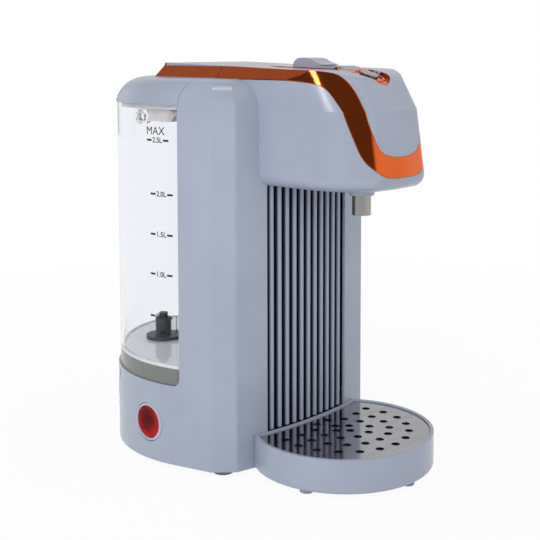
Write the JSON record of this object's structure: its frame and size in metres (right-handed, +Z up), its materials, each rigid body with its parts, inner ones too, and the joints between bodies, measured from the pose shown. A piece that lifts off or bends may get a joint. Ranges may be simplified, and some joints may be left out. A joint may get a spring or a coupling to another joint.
{
  "type": "hot water dispenser",
  "caption": "Countertop instant hot water dispenser: tower with ribbed front, overhanging head with dial and press lever, spout, drip tray and a lift-off clear tank with lid.",
  "frame": {"origin": "bottom centre of the bounding box, on the surface it stands on", "axes": "+Z up, front with the spout towards -Y, +X to the right seen from the front"},
  "size_m": [0.194, 0.277, 0.3069],
  "materials": {
    "grey_gloss": "lavender grey, glossy moulded",
    "copper": "copper plated plastic, mirror bright",
    "steel": "satin steel",
    "dial_silver": "turned silver",
    "clear_tank": "clear plastic",
    "smoky_clear": "smoky clear plastic",
    "grey_matte": "plain moulded",
    "rubber_black": "matt black",
    "silicone": "milky silicone",
    "white_inner": "natural moulded",
    "black_inner": "plain black",
    "bezel_silver": "pale satin ring",
    "red_lens": "translucent red",
    "board_green": "coated circuit board"
  },
  "bodies": {
    "housing": {"tower_shell": "grey_gloss", "ribbed_panel": "grey_gloss", "head_shell": "grey_gloss", "front_fascia": "grey_gloss", "front_trim": "copper", "control_plate": "copper", "lever_pin": "steel", "lever_bracket": "white_inner", "lever_microswitch": "black_inner", "lever_spring": "steel", "dial_encoder": "black_inner", "spout_tube": "steel", "spout_collar": "grey_gloss", "tank_spigot": "white_inner", "spigot_seal": "rubber_black", "rear_panel": "grey_gloss", "cord_gland": "rubber_black", "base_plate": "grey_matte", "base_screws": "steel", "rubber_feet": "rubber_black", "power_bezel": "bezel_silver", "power_switch_body": "black_inner", "heater_body": "steel", "heater_bracket": "white_inner", "thermostat": "black_inner", "thermal_fuse": "white_inner", "control_board": "board_green", "pump": "black_inner", "pump_mount": "white_inner", "inlet_hose": "silicone", "feed_hose": "silicone", "outlet_hose": "silicone"},
    "tank": {"water_tank": "clear_tank", "tank_base_ring": "smoky_clear", "valve_housing": "black_inner", "valve_spring": "steel"},
    "valve": {"valve_plunger": "rubber_black"},
    "lid": {"tank_lid": "grey_gloss", "lid_trim": "copper", "lid_gasket": "silicone"},
    "handle": {"carry_handle": "clear_tank"},
    "lever": {"dispense_lever": "grey_gloss"},
    "dial": {"volume_dial": "dial_silver"},
    "power": {"power_button": "red_lens"},
    "tray": {"drip_tray": "grey_gloss", "tray_feet": "rubber_black"},
    "grate": {"drip_grate": "steel"}
  },
  "joints": [
    {"name": "tank_lift", "type": "slide", "parent": "housing", "child": "tank", "axis": [0, 0, 1], "range_m": [0, 0.15]},
    {"name": "valve_drop", "type": "slide", "parent": "tank", "child": "valve", "axis": [0, 0, -1], "range_m": [0, 0.003], "deforming": ["valve_spring"]},
    {"name": "lid_lift", "type": "slide", "parent": "tank", "child": "lid", "axis": [0, 0, 1], "range_m": [0, 0.12]},
    {"name": "handle_swing", "type": "hinge", "parent": "tank", "child": "handle", "pos_m": [0, 0.0526, 0.2627], "axis": [-1, 0, 0], "range_deg": [0, 100]},
    {"name": "lever_press", "type": "hinge", "parent": "housing", "child": "lever", "pos_m": [0, -0.073, 0.2986], "axis": [-1, 0, 0], "range_deg": [0, 5], "stiffness_Nm_per_rad": 0.8, "deforming": ["lever_spring"]},
    {"name": "dial_turn", "type": "hinge", "parent": "housing", "child": "dial", "pos_m": [0, -0.093, 0.2938], "axis": [0, -0.3123, 0.95], "range_deg": [-135, 135]},
    {"name": "power_push", "type": "slide", "parent": "housing", "child": "power", "axis": [1, 0, 0], "range_m": [0, 0.003], "stiffness_N_per_m": 400},
    {"name": "tray_pull", "type": "slide", "parent": "housing", "child": "tray", "axis": [0, -1, 0], "range_m": [0, 0.1]},
    {"name": "grate_lift", "type": "slide", "parent": "tray", "child": "grate", "axis": [0, 0, 1], "range_m": [0, 0.03]}
  ],
  "couplings": [
    {"joint": "valve_drop", "follows": "tank_lift", "ratio": 0.02},
    {"joint": "handle_swing", "follows": "lid_lift", "rad_per_m": 14.544}
  ]
}
